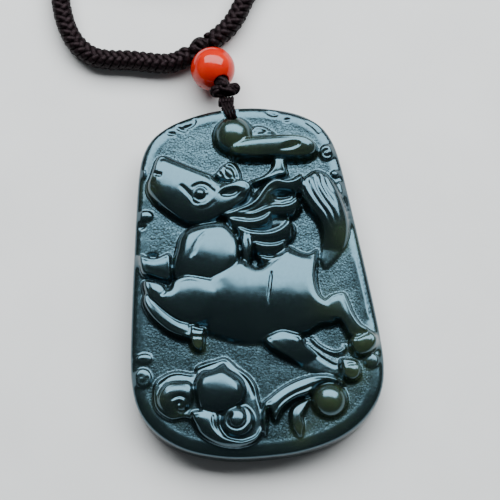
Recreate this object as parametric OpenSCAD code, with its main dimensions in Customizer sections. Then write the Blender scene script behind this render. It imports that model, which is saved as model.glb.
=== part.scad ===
// Jade pendant with a carved galloping horse, on a braided neck cord with a bead.
// It lies on its back: +Z leaves the carved face and +Y points up the plaque, towards the cord.
// The origin is the centre of the flat back. Lengths are in millimetres.

/* [Plaque] */
// Height of the plaque, from the bottom arch to the top arch
plaque_h = 58; // [54:0.5:60]
// Width of the plaque where it is widest
plaque_w = 40.4; // [38:0.2:42]
// Height of the ground between the carved forms, above the back
ground_z = 5.6; // [5.4:0.1:5.9]
// Height of the plain side wall above the back
side_z = 4.5; // [4:0.1:4.8]
// Width of the border, where the face rounds down to the side wall
border_w = 1.9; // [1.4:0.1:2.2]
// How far the back edge is rounded
edge_r = 0.8; // [0.4:0.1:1.1]

/* [Carving] */
// Height of one step of the carving
step_h = 0.5; // [0.4:0.1:0.6]
// Radius of the carved ball at the top
upper_ball_r = 3.35; // [2.8:0.05:3.4]
// Radius of the carved ball at the bottom
lower_ball_r = 2.9; // [2.4:0.1:3.2]

/* [Hole] */
// Radius of the drilled hole
hole_r = 1; // [0.95:0.05:1.1]
// Depth of the notch that takes the strands, on the back
notch_depth = 1.2; // [1.1:0.05:1.3]

/* [Bead] */
// Radius of the bead
bead_r = 3.7; // [3.5:0.05:3.8]
// Radius of the bead's bore
bore_r = 1.25; // [1.1:0.05:1.4]
// Radial clearance between the bore and the strands through it
running_gap = 0.05; // [0.02:0.01:0.08]

/* [Cord] */
// Diameter of the neck braid
braid_d = 3.7; // [3.3:0.05:3.7]
// Diameter of a tail cord
tail_d = 1.2; // [1:0.05:1.2]
// Diameter of one strand through the plaque
strand_d = 0.5; // [0.4:0.05:0.5]
// Length of the sliding knot
slider_l = 6; // [5:0.5:6]

/* [Hidden] */
$fn = 64;
eps = 0.01;
jade = [0.13, 0.22, 0.19];
agate = [0.85, 0.22, 0.08];
cord = [0.10, 0.07, 0.07];

// The outlines below are drawn for a plaque of this size and stretched to the one asked for.
drawn_w = 40.4;
drawn_h = 58;
stretch = [plaque_w / drawn_w, plaque_h / drawn_h];

// Right half of the plaque's outline, from the top centre to the bottom centre
HALF_OUTLINE = [[3, 28.85], [8, 27.9], [11.4, 26.6], [14, 24.7], [15.6, 22], [16.5, 18.5],
    [17.3, 13], [18, 7.5], [18.8, 1], [19.6, -6], [20.15, -12], [20.2, -16], [19.6, -19.5],
    [18.1, -22.4], [15.6, -25], [12.3, -27], [8.2, -28.3], [3.5, -29]];

// Carved forms: outline, height of the top, and how far the edge falls away
CLOUD_BACK = [[-16.5, -16.5], [-14.5, -14.8], [-11, -15], [-9.3, -13.9], [-5, -13.2], [-2.9, -15],
    [-0.8, -17.8], [0, -21.5], [-0.4, -25], [-3, -27], [-7, -26.7], [-10, -24.5], [-11.5, -22],
    [-14.5, -22], [-16.6, -20]];
CLOUD_LOBE = [[-16, -17.6], [-14, -16.1], [-11, -16.5], [-10.2, -17.8], [-11, -20.5],
    [-13, -21.9], [-15.3, -21.2], [-16.2, -19.5]];
CLOUD_HEAD = [[-10.5, -17.3], [-10.1, -15.9], [-8.9, -14.8], [-7, -14.5], [-5.4, -13.8],
    [-4.6, -14.7], [-3.2, -15.9], [-2.3, -17.3], [-2.1, -19], [-2.9, -20.7], [-5, -21.7],
    [-8, -21.9], [-9.9, -20.7]];
CLOUD_SPIRAL = [[-6.6, -21.9], [-4, -20.8], [-1.6, -21.3], [-1, -23.4], [-2.3, -25.3],
    [-4.6, -25.8], [-6.4, -24.4]];
CLOUD_SWOOSH = [[-11.2, -21.6], [-8.4, -21.1], [-6.8, -23.5], [-5.6, -25.8], [-3, -26.3],
    [-0.8, -25.2], [-0.3, -23.5], [0.1, -24.8], [-1.2, -26.6], [-4, -27.4], [-7.5, -26.4],
    [-10.2, -24.2]];
CLOUD_TAIL = [[0.3, -20.3], [4, -18], [8.5, -16.9], [12, -17.5], [13.6, -18.9], [10.5, -18.4],
    [8, -20.2], [5, -21.4], [2.5, -23.4], [0.6, -25.3], [0.2, -22.8]];
CLOUD_DRIP = [[4.5, -22.6], [6, -21], [8, -20.7], [6.7, -22.8], [6.3, -25], [5.7, -26.6],
    [4.7, -25]];
HORN = [[0.2, 23], [2, 23.3], [5, 23.4], [8, 23.2], [10, 22.9], [11.8, 22.2], [13, 20.8],
    [12.6, 19.3], [11, 18.6], [8.5, 18.7], [6, 19.1], [3, 19.2], [0.4, 19.6], [-1.2, 20.4],
    [-1.2, 22]];
HORN_LEAF = [[1.7, 22.6], [2.8, 24.7], [4.6, 24.4], [5.9, 22.9]];
STEM = [[4.9, 19.8], [4.9, 17.5], [2.8, 16.2], [0.4, 15.9], [1.8, 13.4], [5, 14.6], [7.6, 15.4],
    [7.4, 17.6], [7.3, 19.4]];
HEAD = [[-12.3, 21.4], [-9, 19.7], [-4.2, 17.3], [-1, 16.3], [1.6, 15.3], [2.4, 13.6], [0, 11.5],
    [-3.2, 9.8], [-5.5, 8.9], [-9, 8.9], [-12.5, 10.6], [-15.2, 13], [-15.9, 15.3],
    [-14.6, 18.4], [-13.4, 20.9]];
EAR_BACK = [[-4.2, 17], [-3.2, 18.6], [-1.6, 19.1], [-0.3, 17.9], [0, 15.9], [-2, 15.6]];
EAR_FRONT = [[-4.4, 14], [-2.4, 15.4], [0.4, 15.7], [1.5, 14.6], [0, 12.9], [-2.4, 12.8]];
MANE = [[-3, 10.3], [1.5, 12], [4, 14.9], [6, 15.6], [8.2, 15.2], [9.8, 16.1], [9.3, 14],
    [8.7, 12], [7, 10], [6.9, 8.4], [6, 6.4], [6.1, 4.6], [4, 3.8], [1.2, 4.6], [-0.3, 0.4],
    [-1.2, 4.4], [-1.6, 7.6]];
CHEST = [[-9.8, 8.6], [-6.5, 9.1], [-3.2, 9.2], [-1.5, 7], [-0.9, 3.6], [-3, 0], [-7, -0.6],
    [-11.8, -0.6], [-12.3, 2.4], [-11.5, 6]];
BARREL = [[-7, 1.5], [-1.2, 3.2], [3, 3.2], [6.6, 4.4], [9.5, 3.4], [11.8, 4.2], [12.6, 0.5],
    [13.3, -3.6], [14.9, -4.1], [14.2, -8.6], [10, -9.2], [7.5, -10.3], [3, -10.6],
    [-2, -10.2], [-7, -8.4], [-12, -5.2], [-13, -2], [-10, 0.8]];
LEG_NEAR = [[-17.1, 0.8], [-14.8, 0.6], [-13, -0.8], [-10, 0.9], [-6, 0.2], [-5.5, -5.5],
    [-9.5, -7.2], [-8, -8.2], [-8, -10.6], [-9.1, -11.6], [-10.3, -10.2], [-13.4, -8.2],
    [-16.1, -4.8], [-17.2, -1.8]];
LEG_FAR = [[-17.3, 4.9], [-15.2, 4.3], [-12.6, 4.7], [-12.4, 1], [-13, -1.2], [-15.5, 0.2],
    [-17.1, 1.4]];
HIND_NEAR = [[11, -4], [14.8, -4], [15.8, -6.5], [16.9, -9.6], [19, -11], [19.3, -12.6],
    [17.6, -14.2], [15.3, -14.1], [14.4, -11.5], [13.6, -8.6], [10.5, -7]];
HIND_FAR = [[1.4, -10.4], [4.3, -9.2], [7.6, -10.4], [9.8, -13.4], [13, -15.8], [14.6, -14.6],
    [16.1, -16], [15.4, -17.8], [13, -17.4], [8.5, -15.8], [3.5, -13]];
TAIL = [[10.2, 15.8], [12.5, 16.6], [14.5, 15.4], [15.8, 12], [16.3, 7.5], [15.5, 3.5],
    [13.8, 0], [11.9, 1.2], [12, 5], [12.2, 8], [10.2, 10.6], [9.4, 13]];
FORMS = [[CLOUD_BACK, 6.5, 0.4], [CLOUD_LOBE, 8, 1.5], [CLOUD_HEAD, 8.6, 1.8],
    [CLOUD_SPIRAL, 8.1, 1.2], [CLOUD_SWOOSH, 7.6, 0.6], [CLOUD_TAIL, 7.6, 0.6],
    [CLOUD_DRIP, 7.1, 0.5], [HORN, 8.3, 1.2], [HORN_LEAF, 6.9, 0.4], [STEM, 7.2, 0.6],
    [HEAD, 8.6, 2], [EAR_BACK, 7.6, 0.7], [EAR_FRONT, 8.9, 0.8], [MANE, 8, 0.7],
    [CHEST, 8.6, 2], [BARREL, 8.9, 2.6], [LEG_NEAR, 7.9, 1], [LEG_FAR, 7.1, 0.6],
    [HIND_NEAR, 7.9, 1], [HIND_FAR, 7.9, 1], [TAIL, 8.1, 1.4]];
relief_top = 9.1;
relief_steps = ceil((relief_top - ground_z) / step_h);
curve_steps = 2;

// Where the hole and the two carved balls are
hole_at = [-0.4, 27];
front_notch = 0.5;
hole_wall_z = [notch_depth, ground_z - front_notch];
border_steps = 4;
notch_w = 2.1;
// The notches' outer ends reach further to the side that the strands come from
notch_end = [-2.3, 1.3];
UPPER_BALL = [-0.45, 23.8, 5.75];
LOWER_BALL = [10.9, -21.1, 5.6];

// The bead's centre, and its axis as a heading to the right of -Y and a slope up from the floor
bead_at = [-2.8, 36.5, bead_r];
bead_heading = 21.8;
bead_slope = 27.7;
core_l = 2 * sqrt(bead_r * bead_r - bore_r * bore_r) + 0.14;

// Where the strands bend, under the collar knot, and the round end that they turn on
bend_at = [-1.1, 30.3, 4.7];
bend_r = 0.9;
bend_w = 2.6;
// One strand's way through the hole: how far it is spread, then Y and Z
STRAND_ROUTE = [[0.8, 30.3, 4.9], [0.85, 29.6, 5.55], [0.85, 28.9, 5.9], [0.8, 27.9, 5.9],
    [0.6, 27.25, 5.5], [0.6, 27, 4.4], [0.6, 27, 2.2], [0.6, 27.2, 1.2], [0.8, 27.9, 0.72],
    [0.85, 28.9, 0.65], [0.85, 29.45, 1.25], [0.85, 29.95, 2.6], [0.8, 30.25, 4.3]];
strand_pitch = 0.6;
strand_count = 4;
// Every second strand steps aside inside the hole, so that the four fit
strand_stagger = 0.2;

// The knots at the two ends of the bead: a neck of cord against the bead, then the knot itself
collar_r = 1.2;
collar_h = 1.6;
collar_at = [-1.15, 31.7, 5.3];
collar_barrel_r = 1.25;
collar_barrel_l = 3.9;
bend_room = 0.45;
crown_r = 1.2;
crown_h = 1.2;
CROWN_LOBES = [[[-4.55, 41.3, 1.7], 1.7], [[-5.6, 40.9, 1.85], 1.2], [[-3.4, 41.7, 1.85], 1.2]];

// Routes of the neck cord: the stretches that are not coiled
braid_r = braid_d / 2;
LEFT_ROUTE = [[-6.4, 40.3, braid_r], [-7.5, 39.5, braid_r], [-9.2, 38.9, braid_r],
    [-11.2, 38.9, braid_r], [-13.8, 39.4, braid_r], [-16.7, 40, braid_r], [-19.6, 40.3, braid_r],
    [-22.6, 41.2, braid_r], [-25, 43.4, braid_r], [-26.5, 46.6, braid_r],
    [-27.2, 50.4, braid_r], [-27.4, 55, braid_r], [-27.4, 60, braid_r], [-27.4, 65, braid_r],
    [-27.4, 69, braid_r]];
RIGHT_ROUTE = [[-2.9, 41.9, braid_r], [-1.4, 42.8, braid_r], [0.3, 44.1, braid_r],
    [1.9, 46, braid_r], [3.4, 48.6, braid_r], [5.2, 51.6, braid_r], [7.6, 54.8, 2.1],
    [10.4, 58, 2.9], [13.1, 61.6, 4.3], [15.2, 65.6, 5.3], [16.6, 70, 5.55]];
// The coil of each braid: centre, and the radii of the outermost and innermost turns
coil_at = [-5, 79];
coil_out_r = 22.35;
coil_in_r = 16.8;
// The closure: middle of the sliding knot, and how far off it each braid ends
closure_at = [-5, 71.6, 1.9];
wrap_from = 13.2;
wrap_to = 9.4;
wrap_r = 2;
tail_gap = 0.75;
TAIL_ROUTE = [[9.4, -tail_gap, 0], [6.4, -tail_gap, 0], [3.2, -tail_gap, 0], [0, -tail_gap, 0],
    [-3.2, -tail_gap, 0], [-6.4, -tail_gap, 0], [-7.3, -0.95, -0.1], [-8.1, -1.45, -0.3],
    [-8.6, -2.2, -0.6], [-8.8, -3.15, -0.85], [-8.6, -4.1, -1.05], [-8.1, -4.85, -1.2],
    [-7.3, -5.4, -1.25], [-6.3, -5.6, -1.25], [-5, -5.6, -1.2],
    [-3.7, -5.7, -1.2]];
slider_r = 1.9;
stopper_r = 1.3;
STOPPER_AT = [-2.6, -5.7, -0.6];

// A point between b and c on the smooth curve through a, b, c and d
function on_curve(a, b, c, d, t) =
    0.5 * (2 * b + (c - a) * t + (2 * a - 5 * b + 4 * c - d) * t * t
        + (3 * b - a - 3 * c + d) * t * t * t);
// A closed smooth curve through the points, with n steps from each to the next
function smooth(p, n) = let (m = len(p))
    [for (i = [0 : m - 1]) for (j = [0 : n - 1])
        on_curve(p[(i + m - 1) % m], p[i], p[(i + 1) % m], p[(i + 2) % m], j / n)];
function stretched(p) = [for (q = p) [q[0] * stretch[0], q[1] * stretch[1]]];
function whole_outline() = let (m = len(HALF_OUTLINE))
    concat(HALF_OUTLINE, [for (i = [m - 1 : -1 : 0]) [-HALF_OUTLINE[i][0], HALF_OUTLINE[i][1]]]);
function unit(v) = v / norm(v);
// Direction of a route at point i
function heading(p, i) = unit(p[min(i + 1, len(p) - 1)] - p[max(i - 1, 0)]);

module outline(inset = 0) {
    offset(delta = -inset)
        polygon(stretched(smooth(whole_outline(), 3)));
}

// Round cord along a route: eight sides, and one ring at each point.
// ref is a direction that the route never takes.
module tube(route, d, ref = [0, 0, 1]) {
    sides = 8;
    m = len(route);
    points = [for (i = [0 : m - 1])
        let (t = heading(route, i), u = unit(cross(t, ref)), v = cross(u, t))
        for (k = [0 : sides - 1])
            route[i] + d / 2 * (u * cos(360 * k / sides) + v * sin(360 * k / sides))];
    walls = [for (i = [0 : m - 2]) for (k = [0 : sides - 1])
        let (a = i * sides + k, b = i * sides + (k + 1) % sides)
        each [[a, b, b + sides], [a, b + sides, a + sides]]];
    caps = [[for (k = [sides - 1 : -1 : 0]) k], [for (k = [0 : sides - 1]) (m - 1) * sides + k]];
    polyhedron(points = points, faces = concat(walls, caps));
}

// Everything that lies along the bead's axis is drawn on Z, which points towards the plaque
module along_bead() {
    translate(bead_at)
        rotate([90 - bead_slope, 0, bead_heading])
            children();
}

module ball_at(at, r) {
    translate([at[0] * stretch[0], at[1] * stretch[1], at[2]])
        sphere(r);
}

// One level of the carving: each form is drawn in by as much as its rounded edge has fallen
module carving_level(z) {
    for (form = FORMS) {
        rise = (z - ground_z) / (form[1] - ground_z);
        if (rise < 1)
            offset(delta = -form[2] * (1 - sqrt(1 - rise * rise)))
                polygon(stretched(smooth(form[0], curve_steps)));
    }
}

module carving() {
    for (i = [0 : relief_steps - 1]) {
        z = ground_z + i * step_h;
        translate([0, 0, z - (i == 0 ? step_h : eps)])
            linear_extrude(step_h + (i == 0 ? step_h : eps))
                offset(delta = eps)
                    intersection() {
                        carving_level(z + eps);
                        outline(edge_r);
                    }
    }
}

module blank() {
    linear_extrude(edge_r)
        outline(edge_r / 2);
    translate([0, 0, edge_r / 2])
        linear_extrude(side_z - edge_r / 2)
            outline();
    // The border: each level is drawn in by as much as the rounded edge has fallen
    for (i = [1 : border_steps]) {
        rise = (i - 0.5) / border_steps;
        translate([0, 0, side_z - eps])
            linear_extrude((ground_z - side_z) * i / border_steps + eps)
                outline(border_w * (1 - sqrt(1 - rise * rise)));
    }
}

module notch(z, h) {
    translate([hole_at[0], hole_at[1], z]) {
        cylinder(r = notch_w / 2, h = h);
        linear_extrude(h)
            polygon([[-notch_w / 2, 0], [notch_w / 2, 0], [notch_end[1], 3], [notch_end[0], 3]]);
    }
}

module jade_plaque() {
    color(jade)
        difference() {
            union() {
                blank();
                carving();
                ball_at(UPPER_BALL, upper_ball_r);
                ball_at(LOWER_BALL, lower_ball_r);
            }
            translate([hole_at[0], hole_at[1], -1])
                cylinder(r = hole_r, h = 12);
            notch(-1, 1 + hole_wall_z[0]);
            notch(hole_wall_z[1], 6);
        }
}

module bail_strands() {
    color(cord) {
        for (i = [0 : strand_count - 1]) {
            side = i - (strand_count - 1) / 2;
            aside = (i % 2 == 0 ? 1 : -1) * strand_stagger;
            route = [for (p = STRAND_ROUTE)
                let (in_hole = abs(p[1] - hole_at[1]) < 0.3 ? 1 : 0)
                [(in_hole ? hole_at[0] : bend_at[0] + (hole_at[0] - bend_at[0])
                    * (bend_at[1] - p[1]) / (bend_at[1] - hole_at[1]))
                    + side * strand_pitch * p[0], p[1] + in_hole * aside, p[2]]];
            tube(route, strand_d, [1, 0, 0]);
        }
        translate(bend_at)
            rotate([0, 90, 0])
                cylinder(r = bend_r, h = bend_w, center = true);
    }
}

module collar_knot() {
    color(cord)
        difference() {
            union() {
                along_bead()
                    translate([0, 0, core_l / 2])
                        cylinder(r = collar_r, h = collar_h);
                translate(collar_at)
                    rotate([0, 90, 0])
                        cylinder(r = collar_barrel_r, h = collar_barrel_l, center = true);
            }
            translate(bend_at)
                rotate([0, 90, 0])
                    cylinder(r = bend_r + running_gap, h = 8, center = true);
            // Room for the strands as they bend
            translate(bend_at + [-4, -4, -4])
                cube([8, 4 + bend_room, 8]);
        }
}

module agate_bead() {
    color(agate)
        along_bead()
            difference() {
                sphere(bead_r);
                cylinder(r = bore_r, h = 3 * bead_r, center = true);
            }
}

module bead_core() {
    color(cord)
        along_bead()
            cylinder(r = bore_r - running_gap, h = core_l, center = true);
}

module crown_knot() {
    color(cord) {
        along_bead()
            translate([0, 0, -core_l / 2 - crown_h])
                cylinder(r = crown_r, h = crown_h);
        for (lobe = CROWN_LOBES)
            translate(lobe[0])
                sphere(lobe[1]);
    }
}

module braid_left() {
    color(cord)
        tube(LEFT_ROUTE, braid_d);
}

module braid_right() {
    color(cord)
        tube(RIGHT_ROUTE, braid_d);
}

// Solid ring that the turns of one braid fill, with the outer shape of the turns
module coil(layer) {
    translate([coil_at[0], coil_at[1], braid_r + layer * braid_d])
        rotate_extrude() {
            for (r = [coil_in_r, coil_out_r])
                translate([r, 0])
                    circle(braid_r);
            translate([coil_in_r, -braid_r])
                square([coil_out_r - coil_in_r, braid_d]);
        }
}

module coil_left() {
    color(cord)
        coil(0);
}

module coil_right() {
    color(cord)
        coil(1);
}

// The closure is the same from both ends: the left one is drawn and the right one turned round
module closure_side(turn) {
    translate(closure_at)
        rotate([0, 0, turn])
            children();
}

module wrap() {
    translate([wrap_to, 0, wrap_r - closure_at[2]])
        rotate([0, 90, 0])
            cylinder(r = wrap_r, h = wrap_from - wrap_to);
}

module tail() {
    tube(TAIL_ROUTE, tail_d);
}

module stopper() {
    translate(STOPPER_AT)
        sphere(stopper_r);
}

module wrap_left() {
    color(cord)
        closure_side(0)
            wrap();
}

module wrap_right() {
    color(cord)
        closure_side(180)
            wrap();
}

module tail_left() {
    color(cord)
        closure_side(0)
            tail();
}

module tail_right() {
    color(cord)
        closure_side(180)
            tail();
}

module slider_knot() {
    color(cord)
        translate(closure_at)
            rotate([0, 90, 0])
                difference() {
                    cylinder(r = slider_r, h = slider_l, center = true);
                    for (side = [-1, 1])
                        translate([0, side * tail_gap, 0])
                            cylinder(r = tail_d / 2 + running_gap, h = 2 * slider_l, center = true);
                }
}

module stopper_left() {
    color(cord)
        closure_side(0)
            stopper();
}

module stopper_right() {
    color(cord)
        closure_side(180)
            stopper();
}

jade_plaque();
bail_strands();
collar_knot();
agate_bead();
bead_core();
crown_knot();
braid_left();
braid_right();
coil_left();
coil_right();
wrap_left();
wrap_right();
tail_left();
tail_right();
slider_knot();
stopper_left();
stopper_right();
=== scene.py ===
"""A carved jade pendant, lying on its back, on a braided neck cord with a bead."""
from math import cos, pi, radians, sin, tau

import bmesh
import bpy
import numpy as np
from mathutils import Matrix, Vector, noise


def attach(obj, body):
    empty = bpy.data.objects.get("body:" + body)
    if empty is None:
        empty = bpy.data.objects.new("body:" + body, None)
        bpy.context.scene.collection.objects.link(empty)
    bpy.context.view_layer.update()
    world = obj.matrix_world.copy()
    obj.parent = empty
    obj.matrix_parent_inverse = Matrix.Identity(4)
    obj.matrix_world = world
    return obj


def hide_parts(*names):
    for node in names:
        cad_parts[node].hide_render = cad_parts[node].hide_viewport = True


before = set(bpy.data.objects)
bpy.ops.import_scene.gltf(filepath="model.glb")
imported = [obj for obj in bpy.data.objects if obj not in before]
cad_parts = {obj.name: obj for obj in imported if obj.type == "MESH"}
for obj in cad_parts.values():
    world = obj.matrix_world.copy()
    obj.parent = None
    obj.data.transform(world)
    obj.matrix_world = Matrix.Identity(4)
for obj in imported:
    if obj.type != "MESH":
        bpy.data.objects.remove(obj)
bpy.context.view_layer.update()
MM = 0.001


def linked(name, data):
    """A new object in the scene."""
    thing = bpy.data.objects.new(name, data)
    bpy.context.collection.objects.link(thing)
    return thing


# ---- camera

def place_camera():
    """Looks down on the carved face at the photograph's angle, turned a little on its own axis."""
    elevation, azimuth, roll = radians(76), radians(-4), radians(-5.3)
    target = Vector((0.55, 4.75, 5)) * MM
    distance = 340 * MM
    view_width = 81 * MM
    back = Vector((sin(azimuth) * cos(elevation), -cos(azimuth) * cos(elevation), sin(elevation)))
    up = (Vector((0, 1, 0)) - back * back.y).normalized()
    right = up.cross(back)
    right, up = right * cos(roll) + up * sin(roll), up * cos(roll) - right * sin(roll)
    data = bpy.data.cameras.new("camera")
    data.sensor_width = 36
    data.lens = data.sensor_width * distance / view_width
    data.clip_start = 0.01
    camera = linked("camera", data)
    camera.matrix_world = Matrix.Translation(target + back * distance) @ \
        Matrix((right, up, back)).transposed().to_4x4()
    bpy.context.scene.camera = camera


place_camera()


# ---- curves and meshes

def spline(points, step, closed=False):
    """Points about step apart on the smooth curve through the given ones."""
    p = np.asarray(points, float)
    count = len(p)
    out = []
    for i in range(count if closed else count - 1):
        if closed:
            a, b, c, d = (p[(i + k) % count] for k in (-1, 0, 1, 2))
        else:
            a, b, c, d = p[max(i - 1, 0)], p[i], p[i + 1], p[min(i + 2, count - 1)]
        n = max(1, int(np.ceil(np.linalg.norm(c - b) / step)))
        t = (np.arange(n) / n)[:, None]
        out.append(0.5 * (2 * b + (c - a) * t + (2 * a - 5 * b + 4 * c - d) * t ** 2
                          + (3 * b - a - 3 * c + d) * t ** 3))
    if not closed:
        out.append(p[-1:])
    return np.vstack(out)


def even(points, step):
    """The same line, with its points an even step apart."""
    p = np.asarray(points, float)
    s = np.concatenate([[0], np.cumsum(np.linalg.norm(np.diff(p, axis=0), axis=1))])
    n = max(2, int(round(s[-1] / step)) + 1)
    t = np.linspace(0, s[-1], n)
    return np.stack([np.interp(t, s, p[:, k]) for k in range(p.shape[1])], 1)


def unit(v):
    return v / np.maximum(np.linalg.norm(v, axis=-1, keepdims=True), 1e-12)


def frames_along(path, up=(0, 0, 1)):
    """Heading, upward and sideways directions at each point of a path."""
    heading = unit(np.gradient(path, axis=0))
    up = np.asarray(up, float)
    upward = unit(up - heading * (heading @ up)[:, None])
    return heading, upward, np.cross(heading, upward)


def turned_out(path, turn, up=(0, 0, 1)):
    """At each point of a path, a direction square to it, turned about it by an angle."""
    _, upward, sideways = frames_along(path, up)
    return upward * np.cos(turn)[:, None] + sideways * np.sin(turn)[:, None]


def new_mesh(name, points, faces):
    """A mesh in metres from points in millimetres."""
    mesh = bpy.data.meshes.new(name)
    mesh.from_pydata((np.asarray(points) * MM).tolist(), [], [tuple(map(int, f)) for f in faces])
    return mesh


def store(mesh, name, values):
    attribute = mesh.attributes.new(name, "FLOAT", "POINT")
    attribute.data.foreach_set("value", values.astype(np.float32))


class Shape:
    """Collects tubes and other surfaces into one mesh."""

    def __init__(self):
        self.points, self.faces, self.along, self.count = [], [], [], 0

    def add(self, points, faces, along=None):
        self.points.append(np.asarray(points, float))
        self.faces += [tuple(int(i) + self.count for i in f) for f in faces]
        self.along.append(np.zeros(len(points)) if along is None else along)
        self.count += len(points)

    def tube(self, path, radius, flat=1.0, sides=8, up=(0, 0, 1), normals=None, caps=True):
        """A tube along a path. flat is its height over its width, and normals points up it."""
        path = np.asarray(path, float)
        heading, upward, sideways = frames_along(path, up)
        if normals is not None:
            upward = unit(normals - heading * np.sum(heading * normals, 1)[:, None])
            sideways = np.cross(heading, upward)
        n = len(path)
        a = tau * np.arange(sides) / sides
        ring = (upward[:, None] * np.cos(a)[None, :, None] * flat
                + sideways[:, None] * np.sin(a)[None, :, None]) * radius
        points = (path[:, None] + ring).reshape(-1, 3)
        i, k = np.meshgrid(np.arange(n - 1), np.arange(sides), indexing="ij")
        a0, b0 = i * sides + k, i * sides + (k + 1) % sides
        faces = np.stack([a0, a0 + sides, b0 + sides, b0], -1).reshape(-1, 4).tolist()
        if caps:
            faces.append(list(range(sides)))
            faces.append([(n - 1) * sides + k for k in range(sides - 1, -1, -1)])
        length = np.concatenate([[0], np.cumsum(np.linalg.norm(np.diff(path, axis=0), axis=1))])
        self.add(points, faces, np.repeat(length, sides))

    def loop(self, points, radius, sides=8, up=(0.02, 0.03, 1)):
        """A closed cord through the points."""
        line = spline(points, 0.12, closed=True)
        self.tube(np.vstack([line, line[:1]]), radius, sides=sides, up=up, caps=False)

    def finish(self, name, material, body, slot, *nodes):
        """Makes the piece, on its body and in place of its CAD nodes."""
        mesh = new_mesh(name, np.vstack(self.points), self.faces)
        store(mesh, "along", np.concatenate(self.along))
        return piece(name, mesh, material, body, slot, *nodes)


def piece(name, mesh, material, body, slot, *nodes):
    """A visible piece that rides on a body and stands for CAD nodes."""
    mesh.materials.append(material)
    mesh.polygons.foreach_set("use_smooth", [True] * len(mesh.polygons))
    mesh.update()
    thing = linked(name, mesh)
    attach(thing, body)
    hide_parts(*nodes)
    return thing


# ---- materials

class Finish:
    """A material in the making, with short ways to make nodes. Each gives its output socket."""

    def __init__(self, name):
        self.material = bpy.data.materials.new(name)
        self.material.use_nodes = True
        self.tree = self.material.node_tree
        self.where = self.node("TexCoord", {}, "Object")

    def feed(self, sockets, values):
        for key, value in values.items():
            if isinstance(value, bpy.types.NodeSocket):
                self.tree.links.new(value, sockets[key])
            else:
                sockets[key].default_value = value

    def node(self, kind, inputs, output=0, **settings):
        made = self.tree.nodes.new("ShaderNode" + kind)
        for key, value in settings.items():
            setattr(made, key, value)
        self.feed(made.inputs, inputs)
        return made.outputs[output]

    def noise(self, scale, detail=2.0, roughness=0.5, distortion=0.0):
        return self.node("TexNoise", {"Vector": self.where, "Scale": scale, "Detail": detail,
                                      "Roughness": roughness, "Distortion": distortion}, "Fac")

    def attribute(self, name):
        return self.node("Attribute", {}, "Fac", attribute_name=name)

    def maths(self, operation, *values):
        return self.node("Math", dict(enumerate(values)), operation=operation)

    def mapped(self, value, low, high, to_low=0.0, to_high=1.0):
        return self.node("MapRange", {"Value": value, "From Min": low, "From Max": high,
                                      "To Min": to_low, "To Max": to_high}, "Result")

    def ramp(self, value, *stops):
        """A colour ramp through (position, colour) stops."""
        colour = self.node("ValToRGB", {"Fac": value}, "Color")
        elements = colour.node.color_ramp.elements
        while len(elements) < len(stops):
            elements.new(0.5)
        for element, (position, stop) in zip(elements, stops):
            element.position, element.color = position, (*stop, 1)
        return colour

    def bump(self, height, strength, distance):
        return self.node("Bump", {"Height": height, "Strength": strength, "Distance": distance},
                         "Normal")

    def surface(self, **values):
        """Sets the shader's inputs, with _ for each space in their names."""
        self.feed(self.tree.nodes["Principled BSDF"].inputs,
                  {key.replace("_", " "): value for key, value in values.items()})
        return self.material


def cord_material(name, light, twist):
    """Dyed nylon: fine filaments that wind round each strand, with painted shade in the grooves
    between them, and a soft sheen.
    """
    cord = Finish(name)
    fuzz, patches = cord.noise(2600.0, 4.0, 0.65), cord.noise(420.0)
    filament = cord.maths("ADD", cord.maths("MULTIPLY", cord.attribute("along"), twist),
                          cord.maths("MULTIPLY", fuzz, 5.0))
    wave = cord.mapped(cord.maths("SINE", filament), -1.0, 1.0)
    # The colour follows the filaments' bump: painted shade where it is low in the grooves, lighter
    # on the crests, times random patches of tone
    return cord.surface(
        Base_Color=cord.ramp(cord.maths("MULTIPLY", patches, wave),
                             (0.1, (0.0016, 0.0009, 0.0012)), (0.65, light)),
        Roughness=cord.mapped(fuzz, 0.3, 0.7, 0.38, 0.56),
        Specular_IOR_Level=0.12, Specular_Tint=(1, 0.72, 0.8, 1),
        Sheen_Weight=0.02, Sheen_Roughness=0.4, Sheen_Tint=(0.75, 0.62, 0.66, 1),
        Normal=cord.bump(cord.maths("ADD", wave, fuzz), 0.55, 0.00006))


def agate_material():
    """Red-orange agate: cloudy bands under a high polish."""
    agate = Finish("agate")
    cloud, specks = agate.noise(190.0, 3.0, 0.5, 0.9), agate.noise(900.0)
    both = agate.maths("ADD", cloud, agate.mapped(specks, 0.2, 0.8, -0.06, 0.06))
    return agate.surface(
        Base_Color=agate.ramp(both, (0.25, (0.36, 0.007, 0.002)), (0.5, (0.46, 0.012, 0.003)),
                              (0.78, (0.58, 0.03, 0.008))),
        Roughness=agate.mapped(specks, 0.3, 0.7, 0.06, 0.12),
        IOR=1.54, Specular_IOR_Level=0.4, Specular_Tint=(1, 0.8, 0.78, 1),
        Subsurface_Weight=0.15, Subsurface_Radius=(1.0, 0.2, 0.1), Subsurface_Scale=0.0012)


def floor_material():
    """Pale paper-like floor with a faint mottle."""
    floor = Finish("floor")
    return floor.surface(
        Base_Color=floor.ramp(floor.noise(60.0, 5.0), (0.3, (0.62, 0.615, 0.61)),
                              (0.7, (0.66, 0.655, 0.65))),
        Roughness=0.85)


# Colour of the filaments' crests; the ramp falls from it to a painted shade in their grooves
CORD_LIGHT = (0.0075, 0.004, 0.005)
BRAID = cord_material("braid_cord", CORD_LIGHT, 9.0)
STRAND = cord_material("strand_cord", CORD_LIGHT, 14.0)
KNOT = cord_material("knot_cord", (0.007, 0.0038, 0.0046), 12.0)
AGATE = agate_material()


# ---- neck cord

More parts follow.
